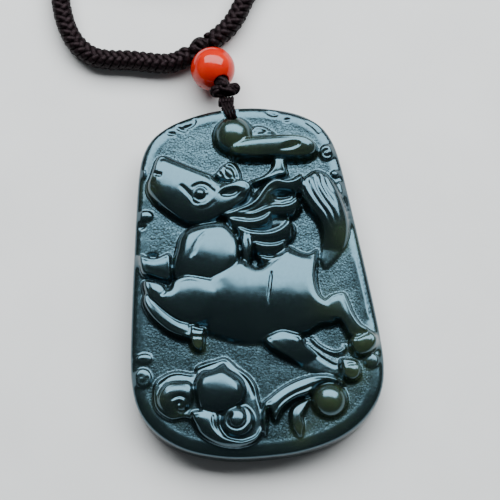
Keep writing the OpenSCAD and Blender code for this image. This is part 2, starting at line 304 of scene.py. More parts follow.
BRAID_D = 3.7
BRAID_R = BRAID_D / 2
LEFT_ROUTE = [(x, y, BRAID_R) for x, y in (
    (-6.4, 40.3), (-7.5, 39.5), (-9.2, 38.9), (-11.2, 38.9), (-13.8, 39.4), (-16.7, 40),
    (-19.6, 40.3), (-22.6, 41.2), (-25, 43.4), (-26.5, 46.6), (-27.2, 50.4), (-27.4, 55),
    (-27.4, 60), (-27.4, 65), (-27.4, 69))]
RIGHT_ROUTE = [(x, y, BRAID_R) for x, y in (
    (-2.9, 41.9), (-1.4, 42.8), (0.3, 44.1), (1.9, 46), (3.4, 48.6), (5.2, 51.6))] + [
    (7.6, 54.8, 2.1), (10.4, 58, 2.9), (13.1, 61.6, 4.3), (15.2, 65.6, 5.3), (16.6, 70, 5.55)]
COIL_AT = np.array((-5.0, 79.0))
COIL_OUT, COIL_IN = 22.35, 16.8
COIL_TURNS = 1.5
COIL_POINTS = 24
# The last bend of each braid: its radius, and the upper braid's height at angles round it
END_BEND = 7.4
UPPER_FALL = [(22, 4.75), (45, 3.5), (68, 2.45), (90, 2.05)]


def coiled(side):
    """The stretch of a braid that is wound up: side is -1 on the left and 1 on the right."""
    height = BRAID_R if side < 0 else BRAID_R + BRAID_D
    points = []
    for i in range(int(COIL_TURNS * COIL_POINTS) + 1):
        t = i / COIL_POINTS
        r = COIL_OUT + (COIL_IN - COIL_OUT) * t / COIL_TURNS
        x, y = COIL_AT + (side * r * cos(tau * t), r * sin(tau * t))
        points.append((x, y, height))
    for angle, fall in UPPER_FALL:
        a = radians(angle)
        x = COIL_AT[0] - side * (COIL_IN - END_BEND + END_BEND * cos(a))
        points.append((x, COIL_AT[1] - END_BEND * sin(a), fall if side > 0 else BRAID_R))
    return points


def braid(name, path, *nodes):
    """Round braid of eight strands: four wind each way, and each column of one is outside."""
    step, pitch, middle, wave = 0.34, 5.1, 1.12, 0.27
    half_width, half_height = 0.56, 0.43
    line = even(path, step)
    s = np.arange(len(line)) * step
    shape = Shape()
    for way in (1, -1):
        for strand in range(4):
            angle = way * tau * s / pitch + strand * tau / 4 + (0 if way > 0 else tau / 8)
            out = turned_out(line, angle)
            r = middle + way * wave * np.sin(2 * angle)
            shape.tube(line + out * r[:, None], half_width, half_height / half_width, normals=out)
    return shape.finish(name, BRAID, "neck_cord", "braid_cord", *nodes), line


braid_left, left_line = braid(
    "neck_braid_left", spline(LEFT_ROUTE + coiled(-1), 0.3), "braid_left", "coil_left")
braid_right, right_line = braid(
    "neck_braid_right", spline(RIGHT_ROUTE + coiled(1), 0.3), "braid_right", "coil_right")


# ---- the carved face

# Right half of the plaque's outline, from the top centre to the bottom centre
HALF_OUTLINE = [
    (3, 28.85), (8, 27.9), (11.4, 26.6), (14, 24.7), (15.6, 22), (16.5, 18.5), (17.3, 13),
    (18, 7.5), (18.8, 1), (19.6, -6), (20.15, -12), (20.2, -16), (19.6, -19.5), (18.1, -22.4),
    (15.6, -25), (12.3, -27), (8.2, -28.3), (3.5, -29)]
GROUND, SIDE = 5.6, 4.5
# Width of the border, where the face rounds down to the side wall
BORDER = 1.9
# How much further up the photograph's plane a point appears for each millimetre of height
RISE = 0.25
DRAWN_AT = 7
# The face's height, and how far it is a raised form, over a square grid
GRID = 0.17
REACH_X, REACH_Y = 21, 30
XS = np.arange(-REACH_X, REACH_X + GRID / 2, GRID)
YS = np.arange(-REACH_Y, REACH_Y + GRID / 2, GRID)
GRID_X, GRID_Y = np.meshgrid(XS, YS)
HEIGHT = np.full(GRID_X.shape, float(GROUND))
FORMS = np.zeros_like(HEIGHT)


def distances(x, y, path, closed=False):
    """Distance of each cell from a line, how far along it that is, and the line's length. The
    distance is negative to the right of an open line and outside a closed one."""
    path = np.asarray(path, float)
    ends = np.roll(path, -1, axis=0) if closed else path[1:]
    starts = path if closed else path[:-1]
    lengths = np.linalg.norm(ends - starts, axis=1)
    before = np.concatenate([[0], np.cumsum(lengths)[:-1]])
    best, side, along = np.full(x.shape, 1e9), np.ones(x.shape), np.zeros(x.shape)
    crossings = np.zeros(x.shape, int)
    for (ax, ay), (bx, by), length, start in zip(starts, ends, lengths, before):
        dx, dy = (bx - ax) / length, (by - ay) / length
        t = np.clip((x - ax) * dx + (y - ay) * dy, 0, length)
        ex, ey = x - ax - dx * t, y - ay - dy * t
        d = np.hypot(ex, ey)
        nearer = d < best
        best = np.where(nearer, d, best)
        side = np.where(nearer, np.where(dx * ey - dy * ex >= 0, 1, -1), side)
        along = np.where(nearer, start + t, along)
        if closed and ay != by:
            crossings += ((y < ay) != (y < by)) & (x < ax + (y - ay) * (bx - ax) / (by - ay))
    if closed:
        side = np.where(crossings % 2 == 1, 1, -1)
    return best * side, along, float(lengths.sum())


def blurred(field, sigma):
    """The field smoothed by a Gaussian of so many grid steps."""
    pad = int(3 * sigma) + 1
    wide = np.pad(field, pad, mode="edge")
    fy = np.fft.fftfreq(wide.shape[0])[:, None]
    fx = np.fft.rfftfreq(wide.shape[1])[None]
    kernel = np.exp(-2 * (pi * sigma) ** 2 * (fx * fx + fy * fy))
    smooth = np.fft.irfft2(np.fft.rfft2(wide) * kernel, s=wide.shape)
    return smooth[pad:-pad, pad:-pad]


def eased(value, low, high):
    t = np.clip((value - low) / (high - low), 0, 1)
    return t * t * (3 - 2 * t)


def near(path, margin, closed=False):
    """The part of the grid round a line, and its cells' distances."""
    low, high = np.min(path, axis=0) - margin, np.max(path, axis=0) + margin
    where = tuple(slice(max(0, int((low[k] - first) / GRID)), int((high[k] - first) / GRID) + 2)
                  for k, first in ((1, YS[0]), (0, XS[0])))
    return where, *distances(GRID_X[where], GRID_Y[where], path, closed)


def lowered(points, height):
    """Points drawn as they appear, moved to where they are at their height."""
    p = np.array(points, float)
    p[:, 1] -= RISE * (height - DRAWN_AT)
    return p


def drawn(points):
    """A line on the surface, moved to where it is at the surface's own height."""
    p = spline(points, 0.25)
    i = np.clip(((p[:, 1] - YS[0]) / GRID).astype(int), 0, len(YS) - 1)
    j = np.clip(((p[:, 0] - XS[0]) / GRID).astype(int), 0, len(XS) - 1)
    p[:, 1] -= RISE * (HEIGHT[i, j] - DRAWN_AT)
    p[:, 1] = np.convolve(np.pad(p[:, 1], 2, mode="edge"), np.ones(5) / 5, "valid")
    return p


def build_up(where, inside, z, form):
    """Raises the face to a new form where that is higher."""
    HEIGHT[where] = np.where(inside, np.maximum(HEIGHT[where], z), HEIGHT[where])
    FORMS[where] = np.maximum(FORMS[where], form)


def dome(outline, top, fall, *bends, base=GROUND, lean=0, soft=0.5):
    """A rounded form. Its edge falls over the last stretch to its outline, and each bend
    curves its top down from a line: a point on it, its normal's angle, and two curvatures."""
    edge = spline(lowered(outline, (top + base) / 2), 0.3, closed=True)
    where, d, _, _ = near(edge, 1, closed=True)
    x, y = GRID_X[where], GRID_Y[where]
    rise = np.sqrt(1 - (1 - np.clip(d / fall, 0, 1)) ** 2)
    deep = eased(d, soft * 0.8, soft * 2.4)
    rise = rise * (1 - deep) + blurred(rise, soft / GRID) * deep
    above = top - base + lean * (y - edge[:, 1].mean())
    for x0, y0, angle, ahead, behind in bends:
        q = (x - x0) * cos(radians(angle)) + (y - y0) * sin(radians(angle))
        above = above - np.where(q > 0, ahead, behind) * q * q
    build_up(where, d > 0, base + rise * np.maximum(above, 0.4), eased(d, -0.15, 0.15))


def raised(outline, amount, fall, power=0.5):
    """Lifts, or with a negative amount sinks, what is inside an outline."""
    edge = spline(drawn(outline + outline[:1])[:-1][::2], 0.3, closed=True)
    where, d, _, _ = near(edge, 0.5, closed=True)
    HEIGHT[where] += amount * (1 - (1 - np.clip(d / fall, 0, 1)) ** 2) ** power


def ball(x0, y0, z0, r):
    """A raised part of a ball."""
    square = r * r - (GRID_X - x0) ** 2 - (GRID_Y - y0) ** 2
    build_up(..., square > 0, z0 + np.sqrt(np.maximum(square, 0)), square > 0)


def line(points, amount, width, fade=0.8):
    """A groove, or with a positive amount a ridge, that fades over its two ends."""
    first, last = np.broadcast_to(np.maximum(fade, 1e-3), 2)
    where, d, along, total = near(drawn(points), 3 * width)
    strength = (np.clip(along / first, 0, 1) * np.clip((total - along) / last, 0, 1)) ** 0.5
    HEIGHT[where] += amount * strength * np.exp(-(d / width) ** 2)


def softened(points, width, reach):
    """Melts the forms on both sides of a line into each other."""
    where, d, _, _ = near(drawn(points), 2.5 * width)
    patch = HEIGHT[where]
    HEIGHT[where] = patch + np.exp(-(d / width) ** 2) * (blurred(patch, reach / GRID) - patch)


def lock(points, top, steep, gentle):
    """A lock of hair: a crest with a steep fall to its left and a gentle one to its right."""
    drop, root, tip = 1.6, 0.8, 1.5
    where, d, along, total = near(spline(lowered(points, top), 0.25), max(steep, gentle))
    thin = np.minimum(np.clip(along / root, 0, 1), np.clip((total - along) / tip, 0, 1))
    off = np.where(d > 0, d / steep, -d / gentle) / np.maximum(thin, 0.05) ** 0.5
    build_up(where, off < 1, top - drop * off ** 2, off < 1)


def carve():
    """The whole carved face. Outlines are drawn as they appear on a plane through its middle."""
    pit_depth, wave_depth = 0.005, 0.025
    outline = HALF_OUTLINE + [(-x, y) for x, y in HALF_OUTLINE[::-1]]
    edge = distances(GRID_X, GRID_Y, spline(outline, 1.2, closed=True), closed=True)[0]
    HEIGHT[:] = border_height(edge)
    for part in (carve_clouds, carve_legs, carve_body, carve_mane, carve_head, carve_horn,
                 carve_rim_marks):
        part()
    plain = 1 - np.maximum(FORMS, eased(HEIGHT, GROUND + 0.25, GROUND + 0.75))
    ground = np.clip(blurred(plain, 0.12 / GRID), 0, 1) * eased(edge, 1.2, 2.8)
    # The ground is pecked all over, and the polished forms are very slightly uneven
    pits = np.array([[noise.noise((a * 2.9, b * 3.3, 1)) for a in XS] for b in YS])
    waves = np.array([[noise.noise((a * 0.45, b * 0.45, 9)) for a in XS] for b in YS])
    HEIGHT[:] = blurred(HEIGHT, 0.11 / GRID) + (pit_depth * ground * pits + wave_depth * waves)
    return edge, ground


def border_height(edge):
    """Height of the bare ground at a distance inside the outline, with a faint lip."""
    out = np.clip(1 - edge / BORDER, 0, 1)
    lip = 0.04 * np.exp(-((edge - BORDER) / 0.4) ** 2)
    return SIDE + (GROUND - SIDE) * np.sqrt(1 - out ** 2.2) + lip


def turned(centre, outer, inner, start, sweep):
    """A spiral line that winds inwards."""
    count = max(6, int(abs(sweep) / 30))
    angles = [radians(start + sweep * i / count) for i in range(count + 1)]
    radii = [outer + (inner - outer) * i / count for i in range(count + 1)]
    return [(centre[0] + r * cos(a), centre[1] + r * sin(a)) for a, r in zip(angles, radii)]


def carve_clouds():
    dome([
        (-16.6, -16.3), (-14.8, -14.9), (-12.8, -14.5), (-10.2, -15), (-9.5, -13.9), (-6.5, -13.2),
        (-4.8, -13.1), (-3.1, -14.8), (-1.4, -16.3), (-0.5, -18), (-0.2, -20), (0.1, -21.8),
        (0.1, -24.2), (-1.1, -26.4), (-3, -27.3), (-7, -26.9), (-10, -25), (-11.6, -22.4),
        (-14.6, -22.2), (-16.8, -20)], 6.7, 0.5)
    dome([
        (-16.1, -17.6), (-14.6, -16.1), (-12.6, -15.9), (-10.8, -16.3), (-10.2, -17.8),
        (-10.9, -20.3), (-12.8, -21.9), (-15.2, -21.4), (-16.4, -19.5)], 8.1, 1.3,
        (-13, -17.6, 85, 0.06, 0.07))
    dome([
        (-10.5, -17.3), (-10.1, -15.9), (-8.9, -14.8), (-7, -14.5), (-5.4, -13.8), (-4.6, -14.7),
        (-3.2, -15.9), (-2.3, -17.3), (-2.1, -19), (-2.9, -20.7), (-5, -21.7), (-8, -21.9),
        (-9.9, -20.7)], 8.8, 1.2, (-6, -18, 88, 0.045, 0.08), (-6.2, -18, 0, 0.03, 0.03))
    dome([
        (-11.3, -21.5), (-9.9, -20.9), (-8.2, -21), (-6.7, -22), (-6.7, -24), (-5.6, -25.6),
        (-3.4, -26.4), (-1.2, -25.6), (-0.3, -24), (-0.1, -25.3), (-1.6, -26.9), (-4.5, -27.4),
        (-7.6, -26.6), (-10.2, -24.6)], 7.7, 0.9, (-8.6, -22.8, 60, 0.05, 0.06))
    ball(-3.9, -23.2, 5.2, 3.1)
    dome([
        (1.1, -22), (0.7, -24.6), (0.3, -26), (-0.3, -24.6), (0.2, -21), (1.3, -19.9),
        (3.6, -18.4), (6.4, -17.3), (9.3, -16.9), (11.8, -17.4), (13.6, -18.9), (11.6, -18.7),
        (9.4, -19), (7.9, -20.2), (5.6, -20.8), (3.6, -22.1), (2, -24)], 7.8, 0.8,
        (5.6, -20.6, 112, 0.035, 0.12))
    dome([
        (4.4, -23.2), (5, -21.9), (6.6, -20.9), (8, -20.7), (7.2, -22.2), (6.4, -23.6),
        (6.5, -25.2), (5.8, -26.8), (4.6, -25.4)], 7.2, 0.6, (5.5, -23.4, 80, 0.08, 0.1))
    ball(10.9, -21.1, 5.6, 2.9)
    # Scrolls and the lines that follow the edges
    line(turned((-12.7, -19.9), 1.75, 0.4, 150, -450), -0.4, 0.24, (1.2, 0.3))
    line(turned((-4.3, -22.7), 2.2, 0.9, 80, -330), -0.46, 0.32, (0.8, 0.5))
    line([
        (-15.7, -16.6), (-14.3, -15.4), (-12.6, -15.1), (-10.3, -15.6), (-9.5, -14.7), (-7, -13.9),
        (-5.1, -13.5), (-3.5, -15), (-2.1, -16.7), (-1.3, -18.5), (-1, -20)], -0.2, 0.2, 1)
    line([
        (-10.9, -22.6), (-9.4, -24.6), (-7.3, -26), (-5, -26.8), (-2.6, -26.7), (-0.8, -25.5)],
        -0.25, 0.2, (1.5, 1))
    line([(-7.7, -21.6), (-7.7, -23.4), (-6.6, -25.2), (-4.8, -26.1)], -0.25, 0.22, 1)
    line([(1.5, -23.1), (2.9, -21.1), (5, -19.8), (7.6, -18.9), (9.6, -18.3)], -0.2, 0.2)
    line([(8.2, -20.6), (8.6, -19.3), (9.8, -18.3), (11.5, -18)], -0.3, 0.22)


def carve_legs():
    # Far hind leg: thigh, cannon and hoof
    dome([
        (1.3, -10.5), (2.8, -9.6), (4.4, -9.2), (6.2, -9.8), (7.6, -10.5), (8, -12), (9.2, -13.2),
        (10.8, -14.7), (12.4, -15.7), (13.4, -15.6), (13.6, -17.2), (11.6, -17.4), (9.2, -16.6),
        (6.4, -15.1), (3.8, -13.4), (2, -12)], 8, 0.8, (4, -11.6, 118, 0.05, 0.09),
        (3.5, -10, 180, 0.02, 0))
    dome([
        (13.1, -14.9), (14.4, -14.7), (15.9, -15.4), (16.4, -16.8), (15.9, -18.2), (14.6, -18.6),
        (13.2, -17.6)], 8.2, 0.8, (14.6, -16.7, 85, 0.1, 0.15))
    line([(7.2, -10.9), (8.5, -12.2), (10.3, -13.9), (12.2, -15.4), (13.2, -15.7)], 0.3, 0.36)
    line([
        (8.9, -10.8), (9.6, -12), (11, -13.2), (12.6, -13.9), (13.9, -13.6), (14.2, -12.6)], 0.4,
        0.3)
    line([(13.2, -14.9), (13.5, -16.1), (13.4, -17.4)], -0.3, 0.2, 0.2)
    line([(13.9, -15.9), (15.1, -15.6), (16, -15.9)], -0.2, 0.18, 0.3)
    # Near hind leg
    dome([
        (9.4, -5), (11.6, -4.9), (13, -4.1), (14.9, -4), (15.6, -5.6), (16.2, -7.6), (17.1, -9.3),
        (18.3, -10.4), (18.2, -11.6), (16.6, -12), (15, -11.4), (14.4, -10.2), (13.6, -8.8),
        (11.6, -8.4), (9.6, -8.4)], 8.3, 0.7, (13.5, -6.6, 60, 0.02, 0.05), lean=0.05)
    dome([
        (16, -10.9), (18.2, -10.3), (19.5, -11.7), (19.3, -13.2), (17.8, -14.5), (15.9, -14.6),
        (15, -13.2), (15, -11.8)], 8.2, 1.2, (17.2, -11.8, 75, 0.1, 0.08))
    line([(15.4, -11.6), (16.6, -11.5), (17.9, -10.9), (18.6, -10.4)], -0.25, 0.2, 0.3)
    # Far foreleg, tucked under the chin
    dome([
        (-17.4, 5.1), (-16.2, 4.7), (-14.6, 4.4), (-12.5, 4.9), (-12.2, 2.6), (-12.6, 0.4),
        (-14, 0.4), (-15.8, 1.2), (-17.2, 2)], 7.5, 0.6, (-15, 3.3, 90, 0.05, 0.06))
    raised([(-16, 4.9), (-15.2, 5.2), (-14.4, 4.8), (-14.7, 4.3), (-15.6, 4.3)], -0.5, 0.4)


def carve_body():
    # Tail, from the rump up to its tip
    dome([
        (12.3, 0.4), (11.7, 1.6), (12, 3.5), (12.2, 6), (11.7, 8.2), (10.4, 10.2), (9.5, 12.2),
        (9.3, 13.9), (10, 15.3), (11.1, 16.2), (12.6, 16.8), (14.2, 16), (15.4, 14.2),
        (16.3, 11.5), (16.9, 8.5), (16.8, 6), (16.1, 4), (14.9, 2.4), (13.5, 1)], 8.3, 1.2,
        (13, 9.8, 55, 0.03, 0.03), (14.6, 8, 0, 0.12, 0), (13, 11.5, -90, 0.024, 0))
    for points in (
            [(9.9, 14.3), (10.3, 12.6), (11.2, 10.9), (12.4, 9)],
            [(10.8, 15.4), (11.1, 13.6), (12, 11.6), (13.4, 9.2), (14, 6.8)],
            [(12, 15.9), (12.2, 14), (13, 12), (14.2, 9.8), (14.8, 7.4)],
            [(13, 16), (13.2, 14.2), (14, 12.2), (14.9, 10.4)],
            [(13.8, 15.4), (14, 14), (14.7, 12.4)]):
        line(points, -0.28, 0.2, (0.8, 2.5))
    line([(11.3, 14.6), (11.7, 12.6), (12.8, 10.2)], -0.14, 0.14, (0.6, 1.5))
    # Barrel and rump
    dome([
        (-6, 0.6), (-3, 2.4), (-1, 3.4), (1.5, 1.4), (4, 3), (6.4, 4.6), (7.4, 4.3), (8.6, 3.5),
        (10, 3.1), (11.4, 3.7), (11.2, 1.4), (10.8, -1.5), (11.2, -4), (12.4, -4.9), (14.4, -5),
        (14.6, -7.6), (13.2, -8.9), (10.6, -9.2), (8.4, -10.2), (4.6, -10.5), (1, -10.9),
        (-2.4, -10.6), (-7, -8.8), (-10.6, -6.4), (-9, -3)], 9, 1, (2, -3.3, 84, 0.022, 0.05),
        (9.4, -1, 0, 0.05, 0), (-2, -2, 180, 0.03, 0))
    line([(3.6, 0.6), (3.3, -1), (2.9, -3), (2.7, -5)], -0.32, 0.2, (1, 2))
    # Chest, with its double crease
    dome([
        (-9.9, 8.5), (-8, 9.2), (-5.5, 9.6), (-3.1, 9.6), (-1.6, 7.9), (-1, 5.6), (-1.1, 3),
        (-3, 0.4), (-6, -0.8), (-10, -0.4), (-12, 0.4), (-12.3, 2.8), (-11.4, 5.6), (-10.9, 7.2)],
        8.9, 1, (-6, 3.8, 76, 0.03, 0.05), (-8, 5, 168, 0.08, 0))
    line([(-6.2, 8.1), (-7.4, 7.1), (-8.5, 5.5), (-9.1, 3.8)], -0.22, 0.17)
    line([(-6.9, 7), (-7.9, 5.7), (-8.5, 4.2)], -0.18, 0.15, 0.6)
    line([(-2.9, 9.4), (-1.7, 7.8), (-1.1, 6), (-1, 4), (-1.3, 2.4)], -0.9, 0.36, (0.5, 1.6))
    # Near foreleg: arm, cannon, pastern and hoof
    dome([
        (-17.1, 0.8), (-15.5, 0.7), (-14, 0), (-13, -1.1), (-12.4, 0), (-11.4, 0.8), (-9.8, 1.1),
        (-8, 0.7), (-5.6, -0.4), (-4.2, -2.8), (-5.4, -5.4), (-8, -7.2), (-10.4, -7.3),
        (-13, -5.9), (-15.6, -3.2), (-16.9, -1.6)], 8.8, 0.8, (-11, -2, 87, 0.05, 0.05),
        (-12, -2, 180, 0.03, 0))
    softened([(-5.2, -0.8), (-4.5, -2.8), (-5.2, -5)], 1.7, 1.3)
    line([(-13.2, -0.6), (-13.6, -1.3), (-14.4, -1.9)], -0.3, 0.25, (0.2, 0.9))
    dome([
        (-17.1, -1.4), (-16, -2), (-14.9, -3.4), (-13.4, -5), (-11.8, -6.3), (-9.9, -7.2),
        (-9.9, -9.4), (-11.6, -9.3), (-14, -8), (-16.2, -5.6), (-17.3, -3.2)], 8.1, 0.7,
        (-13.8, -5.9, 48, 0.12, 0.14))
    dome([
        (-10.2, -7.2), (-8.6, -7.6), (-7.6, -8), (-7.9, -9.2), (-8.1, -10.6), (-8.6, -11.6),
        (-9.6, -11.4), (-10.3, -10.2)], 8.1, 0.6, (-9, -9, 80, 0.06, 0.12))
    line([(-10.1, -7), (-10.2, -8.2), (-10, -9.4)], -0.3, 0.18, (0.1, 0.2))
    line([(-10.1, -9), (-9, -9.1), (-8, -9.3)], -0.3, 0.17, (0.1, 0.2))
    line([(-10, -8), (-9, -8.2), (-7.9, -8.4)], -0.1, 0.14, (0.1, 0.2))


def carve_mane():
    # A low bed under the locks
    dome([
        (-3, 10.4), (0, 12), (2.6, 14), (5, 15.7), (8, 15.4), (10, 16.2), (9.4, 14), (9, 12),
        (7, 10.2), (7.1, 8.4), (6.2, 6.4), (6.6, 5), (5, 3), (2, 3.6), (0.6, 2.6), (-0.4, 0),
        (-1, 4), (-1.4, 7.4)], 6.9, 0.8)
    for points, top, steep, gentle in (
            ([(2, 3.2), (3, 2.7), (4.2, 2.6), (5.6, 2.9), (6.5, 3.6)], 8.1, 0.5, 1.6),
            ([(1.4, 5.5), (2.6, 5), (4, 4.8), (5.2, 4.9), (6.1, 5.4)], 8.2, 0.5, 2),
            ([(-1, 8.2), (0.4, 7.4), (2, 7), (4, 6.9), (5.6, 7.3), (6.7, 8.1), (7, 8.9)], 8.3, 0.5,
             2.2), ([(-2.4, 9.9), (-0.6, 9.4), (1.2, 9.1), (3, 9.4), (4.2, 10.2)], 8.4, 0.4, 2),
            ([(-3, 10.5), (-0.6, 10.4), (1.6, 10.4), (3.2, 10.9), (4.8, 11.3), (6.6, 11.2),
             (8, 11.5), (8.7, 12.3)], 8.3, 0.45, 2),
            ([(-3, 10.7), (-0.8, 11.2), (1, 11.8), (2.3, 12.6), (3.3, 13.8), (4.4, 15),
             (5.8, 15.6), (7.4, 15.2), (8.8, 15.3), (9.9, 16)], 8.5, 0.5, 2.2)):
        lock(points, top, steep, gentle)
    dome([
        (0.1, 7.9), (0.9, 6.6), (1.2, 5), (0.5, 2.8), (-0.5, 0), (-0.9, 2.6), (-1, 5),
        (-0.6, 6.8)], 8.6, 0.5, (0, 5, 60, 0.1, 0.1))
    for points in (
            [(-1.8, 10.1), (0.6, 9.9), (2.4, 10), (3.8, 10.6)],
            [(-1, 10.9), (1, 11.2), (2.6, 12.1), (3.7, 13.4), (4.6, 14.3), (6, 14.8)],
            [(0.6, 8.6), (2.2, 8.1), (4, 8.2)], [(0.2, 6.2), (0.1, 4), (-0.4, 1.6)],
            [(2.2, 6.1), (3.6, 5.8), (5, 6)], [(2.4, 4.2), (3.8, 3.8), (5.2, 4)],
            [(0.4, 7.8), (2.2, 7.4), (4.2, 7.4), (5.6, 7.9)]):
        line(points, -0.22, 0.16)
    raised([(4.4, 13.2), (5.8, 13.9), (7.6, 13.7), (8.6, 13), (7.6, 12.4), (5.6, 12.3)], -0.7, 0.6)
    line([(5.2, 12.9), (6.4, 13), (7.4, 12.8)], 0.2, 0.2)


def carve_head():
    # Rear ear
    dome([
        (-4.4, 16.9), (-3.5, 18), (-2.5, 19), (-1.3, 19.3), (-0.3, 18.4), (0.2, 16.9), (0, 15.6),
        (-2.2, 15.6)], 7.9, 0.7, (-2.4, 17.4, 60, 0.08, 0.02))
    line([(-2.6, 18.9), (-1.2, 18.3), (-0.6, 17), (-0.7, 15.9)], -0.4, 0.4, 0.5)
    for points in (
            [(-3.4, 17.9), (-3, 17), (-2.5, 16.1)], [(-2.7, 18.5), (-2.4, 17.5), (-1.8, 16.2)],
            [(-4, 17.4), (-3.7, 16.6), (-3.2, 16)]):
        line(points, -0.3, 0.18, (0.3, 0.5))
    # Skull and muzzle
    dome([
        (-12.8, 21.5), (-11.8, 21.5), (-10.4, 20.7), (-8.4, 19.6), (-6.3, 18.5), (-4.4, 17.5),
        (-3.6, 16.3), (-1.6, 15.8), (0.8, 15.4), (1.8, 14.2), (0.8, 12.3), (-1.2, 11), (-3, 10.2),
        (-5.4, 9.2), (-8.2, 9.1), (-10.2, 10), (-12.2, 11.6), (-13.9, 13.3), (-15.1, 15.2),
        (-15.2, 16.8), (-14.5, 18.3), (-13.9, 19.9), (-13.4, 21)], 8.9, 0.9,
        (-8, 14.2, 68, 0.032, 0.075), (-13, 18, 190, 0.16, 0))
    line([(-13.9, 18.6), (-13.2, 18.1), (-12.5, 18.1)], -0.3, 0.3, 0.3)
    line([(-15, 16.4), (-14.3, 16.1), (-13.2, 15.4)], -0.18, 0.2, (0.3, 1.2))
    # Eye: a socket, a ring round the ball, and the lids
    raised([
        (-8.6, 14.4), (-7.6, 15.9), (-6.2, 16.2), (-4.9, 15.3), (-4.7, 13.9), (-5.8, 12.6),
        (-7.4, 12.6)], -0.16, 0.9)
    raised(turned((-6.7, 14.4), 0.85, 0.85, 0, 330), 0.45, 0.8, 0.7)
    line(turned((-6.7, 14.4), 1.05, 1.05, 0, 360), -0.2, 0.15, 0)
    line([(-9.8, 16.2), (-8.9, 15), (-8.2, 14), (-7.9, 13.1), (-7, 12.5)], -0.28, 0.24)
    line([
        (-8, 15.3), (-7.2, 15.9), (-6.3, 16), (-5.4, 15.6), (-4.8, 14.8), (-4.3, 13.9)], -0.2, 0.2,
        (0.4, 0.5))
    line([(-8.7, 13.2), (-7.6, 12.2), (-6.5, 11.9), (-5.2, 12.3), (-4.4, 13.1)], -0.12, 0.2)
    line([(-4.7, 15.9), (-4.6, 15), (-4.2, 14.2)], -0.15, 0.2, (0.2, 0.4))
    # Front ear, with its hollow
    dome([
        (-4.2, 14), (-3.4, 15.2), (-1.7, 15.8), (0.2, 16.2), (1.5, 15.5), (1.8, 14.3), (0.9, 13.2),
        (-0.7, 12.9), (-2.4, 12.9), (-3.6, 13.2)], 9.1, 0.7, (-1.4, 14.5, 85, 0.06, 0.1), base=7)
    raised([
        (-3.5, 13.9), (-2.8, 14.6), (-1.4, 14.9), (-0.3, 14.8), (-0.4, 14), (-1.6, 13.5),
        (-2.9, 13.5)], -0.6, 0.6)
    line([(-3, 13.8), (-1.9, 13.9), (-0.9, 14.2)], 0.16, 0.16)


def carve_horn():
    dome([
        (5.7, 19.8), (5.5, 18.2), (4.9, 17.2), (3.6, 16.4), (1.5, 15.9), (1.5, 15), (4, 15.3),
        (6.2, 15.8), (7.7, 16.2), (7.6, 18), (7.5, 19.6)], 7.6, 0.5, (6.2, 17.2, 150, 0.1, 0.08))
    dome([
        (1.4, 22.7), (2.1, 23.9), (3, 25), (4.3, 25), (5.4, 24.3), (6.2, 23.2)], 7.2, 0.6,
        (4, 24, 90, 0.1, 0))
    line([(2, 23.4), (2.5, 24.1), (2.9, 24.9)], -0.15, 0.18, 0.2)
    line([(3.4, 23.5), (4.2, 23.5), (5, 23.8), (5.4, 24.4)], -0.15, 0.2, (0.3, 0.2))
    dome([
        (0.2, 23), (2, 23.3), (5, 23.4), (8, 23.2), (10, 22.9), (11.8, 22.2), (13, 20.8),
        (12.6, 19.3), (11, 18.6), (8.5, 18.7), (6, 19.1), (3, 19.2), (0.4, 19.6), (-1.2, 20.4),
        (-1.2, 22)], 8.9, 0.9, (6, 21.6, 91, 0.12, 0.08), (11, 21, 0, 0.1, 0))
    ball(-0.45, 23.8, 5.75, 3.35)
    raised([
        (6.5, 20.7), (7.6, 21.6), (9.4, 21.9), (10.3, 21.4), (9.6, 20.7), (8, 20.4)], -0.3, 0.4)
    line([(6.8, 20.9), (7.9, 21.4), (9.2, 21.6), (9.9, 21.3)], 0.2, 0.14)


def carve_rim_marks():
    """Small curls and drops on and beside the rim."""
    for points in (
            [(-8.6, 25.8), (-7.4, 25.9), (-6.6, 26.6), (-6.9, 27.4), (-8, 27.6)],
            [(-9.6, 26.2), (-8.8, 25.4), (-7.8, 25.3)], [(-11.2, 25.4), (-10.6, 24.9), (-9.8, 25)],
            [(4.2, 27.9), (5.2, 27.7), (5.8, 27), (6.6, 26.6), (7.2, 26.9)],
            [(8, 25.8), (8.6, 25.5), (9.1, 25.9)], [(11.6, 25.3), (12.8, 24.2), (13.7, 22.8)],
            [(-17.6, 8.6), (-17, 9.5), (-16, 9.7)]):
        line(points, -0.3, 0.26, 0.3)
    for x0, y0, width, height, top in (
            (-16.1, 19, 0.9, 1.5, 6.4), (-15.9, 11.4, 1.4, 1, 6.2), (-17.9, -12.1, 1.4, 1, 6.1),
            (-18.3, -15.2, 1.5, 1.7, 6.2), (14.5, 19.5, 1.3, 1.4, 6.4),
            (15.4, 15.7, 0.8, 0.7, 6.3), (15.9, 12.8, 0.8, 1.6, 6.3),
            (18.2, -15.6, 1.3, 1.3, 6.2)):
        blob = [(x0 + width * cos(a), y0 + height * sin(a)) for a in np.arange(8) * tau / 8]
        dome(blob, top - 0.1, 0.6, base=5.2, soft=0.3)
    line(turned((-18.4, -15.2), 0.8, 0.5, 30, -300), -0.1, 0.25, 0.2)
    line(turned((14.5, 19.4), 0.6, 0.5, 0, -300), -0.3, 0.22, 0.2)
    line([(-17.4, -12), (-18, -11.6), (-18.6, -11.9)], 0.1, 0.2)
    line([(17.2, 2), (17.7, -2), (18.2, -6), (18.4, -9)], 0.1, 0.22, 1)


# ---- the plaque's body

INSET = 1.0
